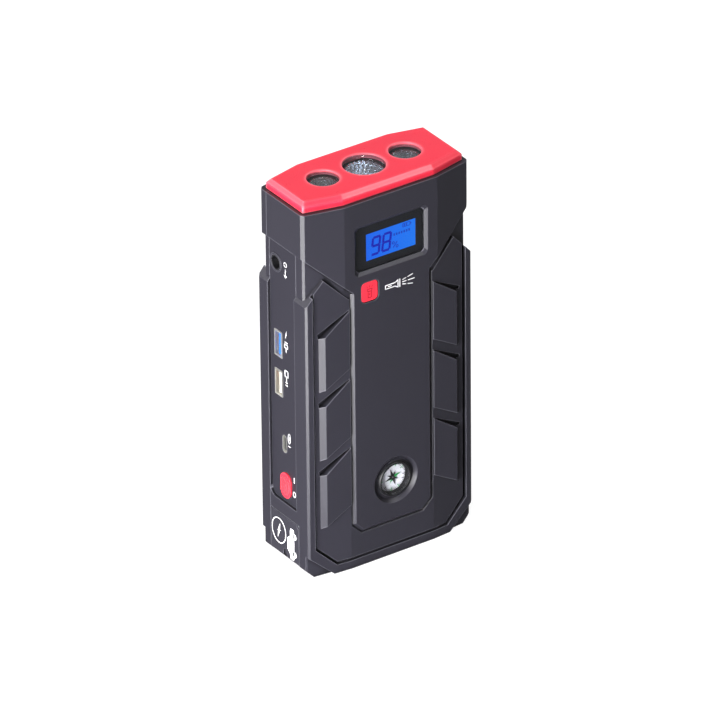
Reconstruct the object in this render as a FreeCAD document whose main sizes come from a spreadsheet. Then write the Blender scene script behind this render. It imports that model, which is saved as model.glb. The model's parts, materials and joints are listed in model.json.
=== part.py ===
import FreeCAD, Part
import os
import Sketcher

# A hand-held car jump starter pack: a two-part moulded case with a torch cap, a display, a compass,
# a column of charging ports and a covered starting socket, round a stack of flat battery cells.
# Millimetres. +Z up, +X to the right of the front face, -Y out of the front face.
# The origin is the middle of the underside.

doc = FreeCAD.newDocument("JumpStarterPack")
sheet = doc.addObject("Spreadsheet::Sheet", "sizes")

SIZES = {
    # overall size and the eight-sided head
    "body_width": 90.0,
    "body_height": 192.0,
    "body_depth": 42.0,
    "head_corner_depth": 33.2,
    "facet_width": 19.9,
    "head_flat": 1.3,
    "edge_flat": 0.9,
    "front_wall": 3.8,
    "side_wall": 5.0,
    "head_wall": 2.4,
    "floor": 2.5,
    # chin of the head and the neck under it
    "chin_side_level": 164.8,
    "chin_panel_level": 141.6,
    "neck_inset": 1.3,
    "neck_step": 1.4,
    # armour round the lower body
    "armour_depth": 38.0,
    "armour_rise": 1.8,
    "armour_corner_level": 141.3,
    "armour_apex_level": 152.2,
    "armour_apex_inset": 9.7,
    "armour_panel_level": 139.4,
    "foot_chamfer_high": 11.7,
    "foot_chamfer_wide": 13.2,
    "rim_width": 3.6,
    "rim_foot": 4.3,
    "foot_bevel": 4.0,
    "foot_inset": 2.8,
    "field_drop": 1.3,
    "channel_width": 1.2,
    "channel_depth": 1.2,
    # centre panel and the groove round it
    "panel_width": 40.6,
    "groove_width": 2.4,
    "groove_wall_run": 0.8,
    "panel_foot": 18.6,
    "panel_corner": 4.2,
    # raised grip fins
    "fin_top_level": 125.2,
    "fin_pitch": 35.4,
    "fin_height": 29.6,
    "fin_slope": 8.8,
    "fin_wall_inset": 6.8,
    "fin_wall_run": 2.5,
    "fin_gap": 1.9,
    "fin_fine_gap": 0.8,
    # torch cap and its three lamps
    "cap_height": 5.0,
    "cap_inset": 2.0,
    "cap_chamfer": 2.0,
    "cap_plate": 2.4,
    "lamp_pitch": 22.1,
    "small_lens_width": 14.6,
    "large_lens_width": 19.4,
    "lamp_clearance": 0.15,
    "reflector_wall": 0.9,
    "lamp_board_level": 176.2,
    "lamp_board_inset": 9.0,
    "board_thickness": 1.6,
    # display
    "display_width": 39.6,
    "display_height": 25.2,
    "display_level": 162.2,
    "display_slope": 1.5,
    "display_recess": 1.3,
    "window_thickness": 1.0,
    "lcd_shift": 1.2,
    "lcd_drop": 0.6,
    "lcd_width": 29.2,
    "lcd_height": 16.2,
    "lcd_thickness": 2.2,
    "backlight_thickness": 3.8,
    # torch button
    "torch_button_offset": 11.8,
    "torch_button_level": 140.4,
    "torch_button_width": 9.1,
    "torch_button_height": 10.0,
    "button_clearance": 0.25,
    "button_travel": 0.6,
    # compass
    "compass_level": 38.6,
    "compass_offset": 1.5,
    "compass_dish_width": 23.6,
    "compass_dish_depth": 1.6,
    "compass_ring_width": 17.6,
    "compass_dial_width": 14.4,
    "compass_cup_depth": 5.2,
    # port column on the left side
    "seam_offset": 11.5,
    "port_front_offset": 9.4,
    "port_foot": 32.0,
    "port_plate": 1.8,
    "port_ledge": 1.2,
    "port_corner": 4.0,
    "port_clearance": 0.15,
    "usb_offset": 5.1,
    "fast_usb_level": 112.2,
    "plain_usb_level": 92.1,
    "usb_height": 13.2,
    "usb_width": 5.8,
    "usb_c_offset": 1.3,
    "usb_c_level": 61.8,
    "usb_c_height": 9.0,
    "usb_c_width": 3.3,
    "jack_offset": 6.2,
    "jack_level": 153.3,
    "jack_bore": 6.2,
    "power_button_level": 41.0,
    "power_button_offset": 0.0,
    "power_button_width": 7.8,
    "power_button_height": 12.7,
    # covered starting socket
    "cover_foot": 1.0,
    "cover_height": 24.0,
    "cover_thickness": 2.4,
    "cover_front_offset": 10.9,
    "cover_clearance": 0.3,
    "cover_corner": 2.4,
    "notch_width": 3.2,
    "notch_height": 3.8,
    "notch_depth": 0.9,
    "hinge_pin_width": 1.0,
    "pin_clearance": 0.05,
    "socket_width": 19.0,
    "socket_height": 12.6,
    "socket_length": 20.0,
    "contact_width": 5.0,
    "contact_pitch": 9.0,
    # battery
    "cell_count": 4.0,
    "cell_gap": 0.2,
    "cell_level": 14.0,
    "cell_side_gap": 2.0,
    "cell_wall_gap": 0.7,
    "tab_height": 8.0,
    "strip_thickness": 0.8,
    # fasteners
    "screw_width": 3.0,
    "screw_head_width": 5.6,
    "boss_width": 8.4,
}


class Size:
    """A length that knows both its value and the sheet expression that drives it."""

    def __init__(self, value, text):
        self.value = value
        self.text = text

    def join(self, other, sign, value):
        return Size(value, "(" + self.text + sign + other.text + ")")

    def __add__(self, other):
        other = size(other)
        return self.join(other, " + ", self.value + other.value)

    def __radd__(self, other):
        return size(other) + self

    def __sub__(self, other):
        other = size(other)
        return self.join(other, " - ", self.value - other.value)

    def __rsub__(self, other):
        return size(other) - self

    def __mul__(self, other):
        other = size(other)
        return self.join(other, " * ", self.value * other.value)

    def __rmul__(self, other):
        return size(other) * self

    def __truediv__(self, other):
        other = size(other)
        return self.join(other, " / ", self.value / other.value)

    def __neg__(self):
        return size(0) - self


def size(value):
    """Turn a plain number into a Size."""
    if isinstance(value, Size):
        return value
    return Size(float(value), format(float(value), ".6g"))


def fillSheet():
    """Write the driving sizes into the sheet and return them as Size values."""
    named = {}
    for row, (alias, value) in enumerate(SIZES.items(), start=1):
        sheet.set("A" + str(row), alias)
        sheet.set("B" + str(row), str(value))
        sheet.setAlias("B" + str(row), alias)
        named[alias] = Size(value, "sizes." + alias)
    doc.recompute()
    return named


class Named:
    """Sizes by attribute, so that formulas read like plain arithmetic."""

    def __init__(self, values):
        self.__dict__.update(values)


named = fillSheet()
s = Named(named)


# ---- small makers: each one makes document objects whose sizes are bound to the sheet ----

def bind(thing, setting, length):
    thing.setExpression(setting, size(length).text)


def place(thing, x, y, z):
    for axis, length in (("x", x), ("y", y), ("z", z)):
        bind(thing, "Placement.Base." + axis, length)


def block(name, x0, x1, y0, y1, z0, z1):
    """A box between two corners."""
    thing = doc.addObject("Part::Box", name)
    bind(thing, "Length", size(x1) - x0)
    bind(thing, "Width", size(y1) - y0)
    bind(thing, "Height", size(z1) - z0)
    place(thing, x0, y0, z0)
    return thing


TURNS = {
    "+Z": FreeCAD.Rotation(),
    "+Y": FreeCAD.Rotation(FreeCAD.Vector(1, 0, 0), -90),
    "-Y": FreeCAD.Rotation(FreeCAD.Vector(1, 0, 0), 90),
    "+X": FreeCAD.Rotation(FreeCAD.Vector(0, 1, 0), 90),
    "-X": FreeCAD.Rotation(FreeCAD.Vector(0, 1, 0), -90),
}


def rod(name, way, radius, length, x, y, z):
    """A round bar that starts at x, y, z and runs the given way."""
    thing = doc.addObject("Part::Cylinder", name)
    bind(thing, "Radius", radius)
    bind(thing, "Height", length)
    thing.Placement = FreeCAD.Placement(FreeCAD.Vector(), TURNS[way])
    place(thing, x, y, z)
    return thing


def fuse(name, things):
    thing = doc.addObject("Part::MultiFuse", name)
    thing.Shapes = things
    thing.Refine = True
    return thing


def cut(name, base, tools):
    thing = doc.addObject("Part::Cut", name)
    thing.Base = base
    thing.Tool = tools[0] if len(tools) == 1 else fuse(name + "_tools", tools)
    thing.Refine = True
    return thing


def common(name, first, second):
    thing = doc.addObject("Part::Common", name)
    thing.Base = first
    thing.Tool = second
    thing.Refine = True
    return thing


def group(name, things):
    """Several separate solids that share one node."""
    thing = doc.addObject("Part::Compound", name)
    thing.Links = things
    return thing


def mirror(name, source, normal):
    thing = doc.addObject("Part::Mirroring", name)
    thing.Source = source
    thing.Normal = FreeCAD.Vector(*normal)
    return thing


def originPlane(body, role):
    return next(item for item in body.Origin.OriginFeatures if item.Role == role)


def outlineSketch(body, name, role, points, start):
    """A closed outline with every corner bound to the sheet, lifted off its plane by start."""
    sketch = body.newObject("Sketcher::SketchObject", name)
    sketch.AttachmentSupport = (originPlane(body, role), [""])
    sketch.MapMode = "FlatFace"
    bind(sketch, "AttachmentOffset.Base.z", start)
    corners = [(size(u), size(v)) for u, v in points]
    count = len(corners)
    for i, (u, v) in enumerate(corners):
        after = corners[(i + 1) % count]
        sketch.addGeometry(Part.LineSegment(FreeCAD.Vector(u.value, v.value, 0),
                                            FreeCAD.Vector(after[0].value, after[1].value, 0)), False)
    for i in range(count):
        sketch.addConstraint(Sketcher.Constraint("Coincident", i, 2, (i + 1) % count, 1))
    for i, (u, v) in enumerate(corners):
        across = sketch.addConstraint(Sketcher.Constraint("DistanceX", -1, 1, i, 1, u.value))
        bind(sketch, "Constraints[" + str(across) + "]", u)
        up = sketch.addConstraint(Sketcher.Constraint("DistanceY", -1, 1, i, 1, v.value))
        bind(sketch, "Constraints[" + str(up) + "]", v)
    return sketch


def prism(name, plane, points, low, high):
    """An outline in XY, XZ or YZ, padded from low to high along the third axis."""
    body = doc.addObject("PartDesign::Body", name)
    start = -size(high) if plane == "XZ" else size(low)
    sketch = outlineSketch(body, name + "_outline", plane + "_Plane", points, start)
    pad = body.newObject("PartDesign::Pad", name + "_pad")
    pad.Profile = sketch
    bind(pad, "Length", size(high) - low)
    body.Tip = pad
    return body


AXES = {"XY": FreeCAD.Vector(0, 0, 1), "XZ": FreeCAD.Vector(0, 1, 0), "YZ": FreeCAD.Vector(1, 0, 0)}


def edgesAlong(shape, axis):
    """Names of the straight edges that run along an axis."""
    names = []
    for number, edge in enumerate(shape.Edges, start=1):
        if isinstance(edge.Curve, Part.Line) and abs(edge.Curve.Direction.dot(axis)) > 0.999:
            names.append("Edge" + str(number))
    return names


def edgesAtLevel(shape, level):
    """Names of the edges that lie at one height."""
    names = []
    for number, edge in enumerate(shape.Edges, start=1):
        box = edge.BoundBox
        if abs(box.ZMin - level) < 0.001 and abs(box.ZMax - level) < 0.001:
            names.append("Edge" + str(number))
    return names


def dress(body, kind, setting, amount, names):
    """Fillet or chamfer the named edges of a body's last feature."""
    base = body.Tip
    feature = body.newObject("PartDesign::" + kind, body.Name + "_" + kind.lower())
    feature.Base = (base, names)
    bind(feature, setting, amount)
    body.Tip = feature
    doc.recompute()
    return body


def frustum(name, points, near, pointsFar, far):
    """A solid between two front outlines with as many corners, at two depths."""
    body = doc.addObject("PartDesign::Body", name)
    first = outlineSketch(body, name + "_near", "XZ_Plane", points, -size(near))
    second = outlineSketch(body, name + "_far", "XZ_Plane", pointsFar, -size(far))
    loft = body.newObject("PartDesign::AdditiveLoft", name + "_loft")
    loft.Profile = first
    loft.Sections = [second]
    loft.Ruled = True
    body.Tip = loft
    return body


def rounded(name, plane, u0, u1, v0, v1, radius, low, high):
    """A plate with four round corners."""
    body = prism(name, plane, [(u0, v0), (u1, v0), (u1, v1), (u0, v1)], low, high)
    doc.recompute()
    return dress(body, "Fillet", "Radius", radius, edgesAlong(body.Shape, AXES[plane]))


def turned(name, way, profile, x, y, z):
    """A profile of (radius, length) corners turned about an axis that starts at x, y, z."""
    body = doc.addObject("PartDesign::Body", name)
    sketch = outlineSketch(body, name + "_outline", "XZ_Plane", profile, 0)
    turn = body.newObject("PartDesign::Revolution", name + "_turn")
    turn.Profile = sketch
    turn.ReferenceAxis = (sketch, ["V_Axis"])
    turn.Angle = 360
    body.Tip = turn
    body.Placement = FreeCAD.Placement(FreeCAD.Vector(), TURNS[way])
    place(body, x, y, z)
    return body


def cornered(name, plane, u0, u1, v0, v1, radius, low, high, u, v):
    """A plate with one round corner, the one at u, v."""
    body = prism(name, plane, [(u0, v0), (u1, v0), (u1, v1), (u0, v1)], low, high)
    doc.recompute()
    spot = {"XZ": (size(u).value, None, size(v).value), "YZ": (None, size(u).value, size(v).value)}[plane]
    names = []
    for edgeName in edgesAlong(body.Shape, AXES[plane]):
        middlePoint = body.Shape.getElement(edgeName).CenterOfMass
        if all(want is None or abs(have - want) < 0.001 for have, want in zip(middlePoint, spot)):
            names.append(edgeName)
    return dress(body, "Fillet", "Radius", radius, names)


def fourWay(quarter):
    """Mirror the corners of one quarter, given from the side towards the front, into a full outline."""
    back = [(-size(x), y) for x, y in reversed(quarter)]
    left = [(-size(x), -size(y)) for x, y in quarter]
    front = [(x, -size(y)) for x, y in reversed(quarter)]
    return quarter + back + left + front


def twoWay(half):
    """Mirror the corners of the right half, given from the bottom up, into a full front outline."""
    return half + [(-size(x), z) for x, z in reversed(half)]


finished = []


def finish(thing, label):
    """Mark an object as one finished piece of the pack."""
    thing.Label = label
    finished.append(thing)
    return thing


# ---- shared places ----

halfWidth = s.body_width / 2
halfDepth = s.body_depth / 2
shellTop = s.body_height - s.cap_height
flatHalf = halfWidth - s.facet_width
headCorner = s.head_corner_depth / 2
neckHalf = halfWidth - s.neck_inset
neckCorner = headCorner - s.neck_inset
neckFront = halfDepth - s.neck_step
panelHalf = s.panel_width / 2
grooveHalf = panelHalf + s.groove_width
armourCorner = s.armour_depth / 2
armourFront = armourCorner + s.armour_rise
innerFront = halfDepth - s.front_wall
innerSide = halfWidth - s.side_wall
rimInner = halfWidth - s.rim_width
past = 2.0
middle = size(0)


# ---- outer form of the case ----

def headOutline():
    lean = (halfDepth - headCorner) / s.facet_width
    return fourWay([
        (halfWidth, headCorner - s.head_flat),
        (halfWidth - s.head_flat, headCorner + lean * s.head_flat),
        (flatHalf, halfDepth),
    ])


def makeHead():
    """Head and centre panel: one flat front face, with the chin cut back to the panel."""
    plan = prism("head_plan", "XY", headOutline(), s.panel_foot, shellTop)
    front = prism("head_front", "XZ", twoWay([
        (panelHalf - s.panel_corner, s.panel_foot),
        (panelHalf, s.panel_foot + s.panel_corner),
        (panelHalf, s.chin_panel_level),
        (halfWidth, s.chin_side_level),
        (halfWidth, shellTop),
    ]), -halfDepth, halfDepth)
    return common("head_form", plan, front)


def makeNeck():
    """The core that shows as the neck and at the bottom of the groove."""
    return prism("neck_form", "XY", fourWay([
        (neckHalf, neckCorner - s.edge_flat),
        (neckHalf - s.edge_flat, neckCorner),
        (flatHalf, neckFront),
    ]), 0, shellTop)


def armourTop():
    return [
        (halfWidth, s.armour_corner_level),
        (halfWidth - s.armour_apex_inset, s.armour_apex_level),
        (grooveHalf, s.armour_panel_level),
    ]


def fieldSurface(name, sink):
    """Everything outside a surface that lies a little under the rim, sunk further by sink."""
    side = armourCorner - s.field_drop + 0.3 - sink
    front = armourFront - 0.5 - sink
    return prism(name, "XY", [
        (-rimInner, -side), (-grooveHalf, -front), (grooveHalf, -front), (rimInner, -side),
        (rimInner, -halfDepth - past), (-rimInner, -halfDepth - past),
    ], 0, s.body_height)


def fieldOutline(name, inset):
    """The rim's inner outline on the front face, moved inwards by inset."""
    return prism(name, "XZ", twoWay([
        (halfWidth - s.foot_chamfer_wide - s.rim_foot / 3 - inset / 2, s.rim_foot + inset),
        (rimInner - inset, s.foot_chamfer_high + s.rim_foot * 0.75 + inset / 2),
        (rimInner - inset, s.body_height),
    ]), -halfDepth - past, middle)


def makeFieldCut():
    """The sunk field between the rim and the groove, with a deeper channel along the rim."""
    field = common("field_flat", fieldSurface("field_surface", 0), fieldOutline("field_inside", 0))
    ring = cut("channel_ring", fieldOutline("channel_outside", 0), [fieldOutline("channel_inside", s.channel_width)])
    channel = common("channel_cut", fieldSurface("channel_surface", s.channel_depth), ring)
    return fuse("field_cut", [field, channel])


def panelOutline(grow, top):
    """The lower end of the centre panel, grown outwards by grow."""
    return twoWay([
        (panelHalf - s.panel_corner + grow * 0.4, s.panel_foot - grow),
        (panelHalf + grow, s.panel_foot + s.panel_corner - grow * 0.4),
        (panelHalf + grow, top),
    ])


def makeGrooveCut():
    """The groove round the centre panel on the front face, with its outer wall sloped."""
    rise = armourFront - neckFront
    run = s.groove_wall_run
    return frustum("groove_cut", panelOutline(s.groove_width + run, s.body_height), -neckFront - rise * 2,
                   panelOutline(s.groove_width - run, s.body_height), -neckFront)


def makePanelSlope():
    """The sloped edge between the centre panel and the bottom of the groove, on the front face."""
    step = s.neck_step
    return frustum("panel_slope", panelOutline(0, s.chin_panel_level), -halfDepth,
                   panelOutline(step, s.chin_panel_level), -neckFront)


def makeArmour():
    plan = prism("armour_plan", "XY", fourWay([
        (halfWidth, armourCorner - s.edge_flat),
        (halfWidth - s.edge_flat, armourCorner),
        (grooveHalf, armourFront),
    ]), 0, s.armour_apex_level)
    front = prism("armour_front", "XZ", twoWay([
        (halfWidth - s.foot_chamfer_wide, middle),
        (halfWidth, s.foot_chamfer_high),
    ] + armourTop()), -halfDepth, halfDepth)
    solid = common("armour_solid", plan, front)
    field = makeFieldCut()
    groove = makeGrooveCut()
    tools = [field, mirror("field_cut_rear", field, (0, 1, 0)), groove, mirror("groove_cut_rear", groove, (0, 1, 0))]
    return cut("armour_form", solid, tools)


def makeFoot():
    """The plain block under the armour's lower corners."""
    return prism("foot_form", "XY", fourWay([
        (halfWidth, armourCorner - s.foot_inset),
        (halfWidth - s.edge_flat, armourCorner - s.foot_inset + s.edge_flat / 2),
        (grooveHalf, armourCorner),
    ]), 0, s.foot_chamfer_high)


def footOutline(edge, lift):
    """The front view of the whole case, with its lower edges bevelled."""
    return twoWay([
        (edge - s.foot_bevel, size(lift)),
        (edge, s.foot_bevel + lift),
        (edge, s.body_height),
    ])


def finLevels():
    return [s.fin_top_level - s.fin_pitch * k for k in range(3)]


def makeFins():
    """Three raised grip fins in one quarter, mirrored to the other three."""
    wallFoot = halfWidth - s.fin_wall_inset
    wallTop = wallFoot - s.fin_wall_run
    strip = prism("fin_strip", "XY", [
        (wallFoot, -neckCorner),
        (wallFoot, -(armourCorner - s.field_drop + 0.6)),
        (wallTop, -(armourFront - 0.3)),
        (grooveHalf, -(armourFront + 0.1)),
        (grooveHalf, -neckCorner),
    ], 0, s.body_height)
    masks = []
    for number, top in enumerate(finLevels(), start=1):
        masks.append(prism("fin_mask_" + str(number), "XZ", [
            (wallFoot, top - s.fin_gap),
            (grooveHalf, top + s.fin_slope),
            (grooveHalf, top - s.fin_height + s.fin_slope),
            (wallFoot, top - s.fin_height),
        ], -halfDepth, middle))
    return quarters("fin", common("fins_right", strip, fuse("fin_masks", masks)))


def makeSlots(side, gap):
    """The dark tapering slots over the fins of one quarter, drawn on the right."""
    wallFoot = halfWidth - s.fin_wall_inset
    slots = []
    for number, top in enumerate(finLevels(), start=1):
        slots.append(prism("slot_" + side + str(number), "XZ", [
            (wallFoot, top - gap),
            (wallFoot + 0.4, top + 0.4),
            (grooveHalf, top + s.fin_slope + 0.2),
            (grooveHalf, top + s.fin_slope),
            (wallFoot - s.fin_wall_run, top - gap * 0.6),
        ], -halfDepth - past, -(neckFront - 2.2)))
    return fuse("slots_" + side, slots)


def makeWedges():
    """The slots on both sides, finer on the right of the front, mirrored to the back."""
    left = mirror("slots_left_side", makeSlots("left", s.fin_gap), (1, 0, 0))
    both = fuse("slots_front", [left, makeSlots("right", s.fin_fine_gap)])
    return [both, mirror("slots_rear", both, (0, 1, 0))]


def quarters(name, source):
    left = mirror(name + "_left", source, (1, 0, 0))
    both = fuse(name + "_both", [source, left])
    return [both, mirror(name + "_rear", both, (0, 1, 0))]


def makeCavities():
    lower = prism("cavity_body", "XY", fourWay([
        (innerSide, innerFront - 4.0),
        (innerSide - 4.0, innerFront - 2.0),
        (grooveHalf, innerFront),
    ]), s.floor, shellTop + past)
    upper = prism("cavity_head", "XY", fourWay([
        (halfWidth - s.head_wall, headCorner - s.head_wall),
        (flatHalf - 0.7, halfDepth - s.head_wall),
    ]), s.chin_side_level + 1.2, shellTop + past)
    return [lower, upper]


socketMiddle = (s.seam_offset - 0.3 - s.cover_front_offset) / 2
socketLevel = s.cover_foot + (s.cover_height - s.cover_thickness) / 2
portFace = -neckHalf
portBack = portFace + s.port_plate
coverInner = -halfWidth + s.cover_thickness
pocketFloor = coverInner + s.cover_clearance
hingeX = -halfWidth + s.cover_thickness / 2
hingeLevel = s.cover_foot + s.cover_height - s.cover_thickness / 2
pocketTop = s.cover_foot + s.cover_height + s.cover_clearance


def makeSideCuts():
    """Sunk sides, the seat and window of the port plate, and the pocket of the socket cover."""
    front = -s.port_front_offset
    rear = s.seam_offset
    chin = s.chin_side_level
    sill = s.port_foot + s.port_ledge
    return [
        cornered("seat_left", "YZ", front, rear, s.port_foot, chin, s.port_corner, -halfWidth - past, portBack,
                 rear, s.port_foot),
        cornered("window_left", "YZ", front + s.port_ledge, rear - s.port_ledge, sill, chin - s.port_ledge,
                 s.port_corner - s.port_ledge, portBack - 0.5, -innerSide + past, rear - s.port_ledge, sill),
        cornered("sunk_right", "YZ", front, rear, s.port_foot, s.armour_apex_level, s.port_corner, neckHalf,
                 halfWidth + past, rear, s.port_foot),
        block("cover_pocket", -halfWidth - past, pocketFloor, -s.cover_front_offset - s.cover_clearance, rear,
              -past, pocketTop),
        block("socket_hole", -halfWidth, -innerSide + past, socketMiddle - s.socket_width / 2 - 0.15,
              socketMiddle + s.socket_width / 2 + 0.15, socketLevel - s.socket_height / 2 - 0.15,
              socketLevel + s.socket_height / 2 + 0.15),
        rod("pin_bore", "+Y", s.hinge_pin_width / 2 + s.pin_clearance, pinLength() + 0.4, hingeX,
            pinStart() - 0.2, hingeLevel),
    ]


def pinStart():
    return -s.cover_front_offset - s.cover_clearance - 1.6


def pinLength():
    return s.seam_offset + 1.6 - pinStart()


displayFloor = -halfDepth + s.display_recess + s.window_thickness
windowX1 = s.display_width / 2 - s.display_slope
windowX0 = -windowX1
windowZ0 = s.display_level - s.display_height / 2 + s.display_slope
windowZ1 = s.display_level + s.display_height / 2 - s.display_slope
lcdLevel = s.display_level - s.lcd_drop
buttonX = -s.torch_button_offset
ringRadius = s.compass_ring_width / 2


def makeFrontCuts():
    """Holes in the front face: display, torch button and compass."""
    half = s.display_width / 2
    high = s.display_height / 2
    level = s.display_level
    gap = s.button_clearance
    wide = s.torch_button_width / 2 + gap
    tall = s.torch_button_height / 2 + gap
    dish = s.compass_dish_width / 2
    slope = s.display_slope
    corner = 1.6

    def opening(grow):
        return [
            (-half - grow + corner, level - high - grow), (half + grow - corner, level - high - grow),
            (half + grow, level - high - grow + corner), (half + grow, level + high + grow - corner),
            (half + grow - corner, level + high + grow), (-half - grow + corner, level + high + grow),
            (-half - grow, level + high + grow - corner), (-half - grow, level - high - grow + corner),
        ]

    return [
        frustum("display_slopes", opening(slope), -halfDepth - s.display_recess, opening(-slope),
                -halfDepth + s.display_recess),
        rounded("display_recess", "XZ", windowX0 - 0.15, windowX1 + 0.15, windowZ0 - 0.15, windowZ1 + 0.15, 1.3,
                -halfDepth + s.display_recess - 0.1, displayFloor),
        block("display_hole", s.lcd_shift - s.lcd_width / 2 - 0.3, s.lcd_shift + s.lcd_width / 2 + 0.3,
              displayFloor - 0.5, -innerFront + past, lcdLevel - s.lcd_height / 2 - 0.3,
              lcdLevel + s.lcd_height / 2 + 0.3),
        rounded("torch_button_hole", "XZ", buttonX - wide, buttonX + wide, s.torch_button_level - tall,
                s.torch_button_level + tall, 2.2 + gap, -halfDepth - past, -innerFront + past),
        turned("compass_dish", "-Y", [
            (middle, middle), (dish - s.compass_dish_depth, middle), (dish, s.compass_dish_depth),
            (dish, s.compass_dish_depth + past), (middle, s.compass_dish_depth + past),
        ], s.compass_offset, -halfDepth + s.compass_dish_depth, s.compass_level),
        rod("compass_hole", "-Y", ringRadius + 0.1, s.front_wall + past, s.compass_offset, -innerFront + 0.5,
            s.compass_level),
    ]


stripBack = pocketFloor + s.socket_length + 1.0
cellX0 = stripBack + s.strip_thickness + s.cell_side_gap
cellX1 = innerSide - s.cell_side_gap
bossPlaces = [
    (-halfWidth + 12.0, s.chin_side_level + 3.2),
    (halfWidth - 12.0, s.chin_side_level + 3.2),
    (cellX0 + 5.0, s.floor + 5.7),
    (halfWidth - 11.0, s.floor + 5.7),
]
headSeat = headCorner - 1.2
screwReach = 14.0
frontBoard = displayFloor + s.lcd_thickness + s.backlight_thickness + 0.1
frontBoardFoot = s.torch_button_level - 10.4
frontBoardTop = s.display_level + s.display_height / 2 + 2.6
frontBoardHalf = s.display_width / 2 + 4.6
portBoard = s.power_button_offset - 1.6
portBoardEnd = stripBack - 0.3
lampHalf = halfWidth - s.lamp_board_inset
cellTop = frontBoardFoot - 1.2 - s.strip_thickness - s.tab_height


def bossParts(name, radius, rows):
    """One bar for each screw place, between two depths."""
    bars = []
    for number, (x, z) in enumerate(bossPlaces, start=1):
        low, high = rows
        bars.append(rod(name + str(number), "+Y", radius, size(high) - low, x, low, z))
    return bars


def makeInnerParts():
    """Screw bosses, board posts, the display's seat, the lamp board's ledges and the ribs under the cells."""
    parts = bossParts("boss_", s.boss_width / 2, (-innerFront - 0.6, innerFront + 0.6))
    skin = halfDepth - s.head_wall + 0.2
    postX = frontBoardHalf - 2.5
    for number, (side, z) in enumerate([(-1, frontBoardFoot + 3.0), (1, frontBoardFoot + 3.0),
                                        (-1, frontBoardTop - 1.8), (1, frontBoardTop - 1.8)], start=1):
        parts.append(rod("front_post_" + str(number), "+Y", 2.0, frontBoard + skin, postX * side, -skin, z))
    seatX = s.display_width / 2 + 2.0
    seatZ = s.display_height / 2 + 2.0
    parts.append(block("display_seat", -seatX, seatX, -skin, -innerFront, s.display_level - seatZ,
                       s.display_level + seatZ))
    under = portBoard - s.board_thickness
    postX = portBoardEnd - 5.0
    for number, (x, z) in enumerate([(postX, s.port_foot + 2.4), (postX, s.jack_level - 13.0),
                                     (-innerSide + 3.0, (s.usb_c_level + s.plain_usb_level) / 2)], start=1):
        parts.append(rod("port_post_" + str(number), "+Y", 2.0, under + innerFront + 0.4, x, -innerFront - 0.4, z))
    for number, side in enumerate((-1, 1), start=1):
        near = lampHalf - 2.0
        far = halfWidth - s.head_wall + 0.4
        low, high = (near, far) if side > 0 else (-far, -near)
        parts.append(block("lamp_ledge_" + str(number), low, high, -(headCorner - 2.0), headCorner - 2.0,
                           s.lamp_board_level - 2.0, s.lamp_board_level))
    for number, x in enumerate((cellX0 + 12.0, cellX1 - 14.0), start=1):
        parts.append(block("cell_rib_" + str(number), x, x + 2.0, -innerFront + 1.0, innerFront - 1.0,
                           s.floor - 1.0, s.cell_level))
    return parts


def makeScrewHoles():
    seat = headSeat
    return (bossParts("screw_pilot_", s.screw_width / 2, (seat - screwReach - 0.5, s.seam_offset + 1))
            + bossParts("screw_hole_", s.screw_width / 2 + 0.2, (s.seam_offset, seat + 0.5))
            + bossParts("screw_sink_", s.screw_head_width / 2 + 0.3, (seat, halfDepth + past)))


def makeShells():
    """Join the outer form, hollow it, add the inner parts, cut the openings and split it at the seam."""
    slope = makePanelSlope()
    slopes = [slope, mirror("panel_slope_rear", slope, (0, 1, 0))]
    joined = fuse("joined_form", [makeNeck(), makeHead(), makeArmour(), makeFoot()] + slopes + makeFins())
    outer = common("outer_form", joined, prism("foot_bound", "XZ", footOutline(halfWidth, 0), -halfDepth, halfDepth))
    hollow = cut("hollow_form", outer, makeCavities() + makeWedges())
    inner = fuse("inner_parts", makeInnerParts())
    bound = prism("inner_bound", "XY", fourWay([
        (neckHalf, neckCorner - s.edge_flat), (flatHalf, neckFront),
    ]), 0, shellTop)
    filled = fuse("filled_form", [hollow, common("inner_kept", inner, bound)])
    open_form = cut("case_form", filled, makeSideCuts() + makeFrontCuts() + makeScrewHoles())
    reach = s.body_width
    front = block("front_half", -reach, reach, -reach, s.seam_offset, -past, s.body_height)
    rear = block("rear_half", -reach, reach, s.seam_offset, reach, -past, s.body_height)
    finish(common("front_shell", open_form, front), "front_shell")
    finish(common("rear_shell", open_form, rear), "rear_shell")


# ---- torch cap and lamps ----

plateUnder = s.body_height - s.cap_plate


def lamps():
    return [
        ("left", -s.lamp_pitch, s.small_lens_width / 2, 0.9),
        ("centre", middle, s.large_lens_width / 2, 0.3),
        ("right", s.lamp_pitch, s.small_lens_width / 2, 0.9),
    ]


def makeCap():
    inset = s.cap_inset
    crown = prism("cap_crown", "XY", fourWay([
        (halfWidth - inset, headCorner - inset),
        (flatHalf - inset / 3, halfDepth - inset),
    ]), shellTop, s.body_height)
    doc.recompute()
    dress(crown, "Chamfer", "Size", s.cap_chamfer, edgesAtLevel(crown.Shape, s.body_height.value))
    skirtOut = s.head_wall + 0.2
    skirtIn = skirtOut + 1.6
    skirt = prism("cap_skirt", "XY", fourWay([
        (halfWidth - skirtOut, headCorner - skirtOut), (flatHalf - 0.7, halfDepth - skirtOut),
    ]), shellTop - 2.8, shellTop + 0.5)
    room = prism("cap_room", "XY", fourWay([
        (halfWidth - skirtIn, headCorner - skirtIn), (flatHalf - 0.7, halfDepth - skirtIn),
    ]), shellTop - 2.8 - past, plateUnder)
    holes = [rod("lamp_hole_" + side, "+Z", radius + s.lamp_clearance, s.cap_plate + past, x, 0, plateUnder - 1)
             for side, x, radius, sink in lamps()]
    finish(cut("torch_cap", fuse("cap_whole", [crown, skirt]), [room] + holes), "torch_cap")


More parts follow.
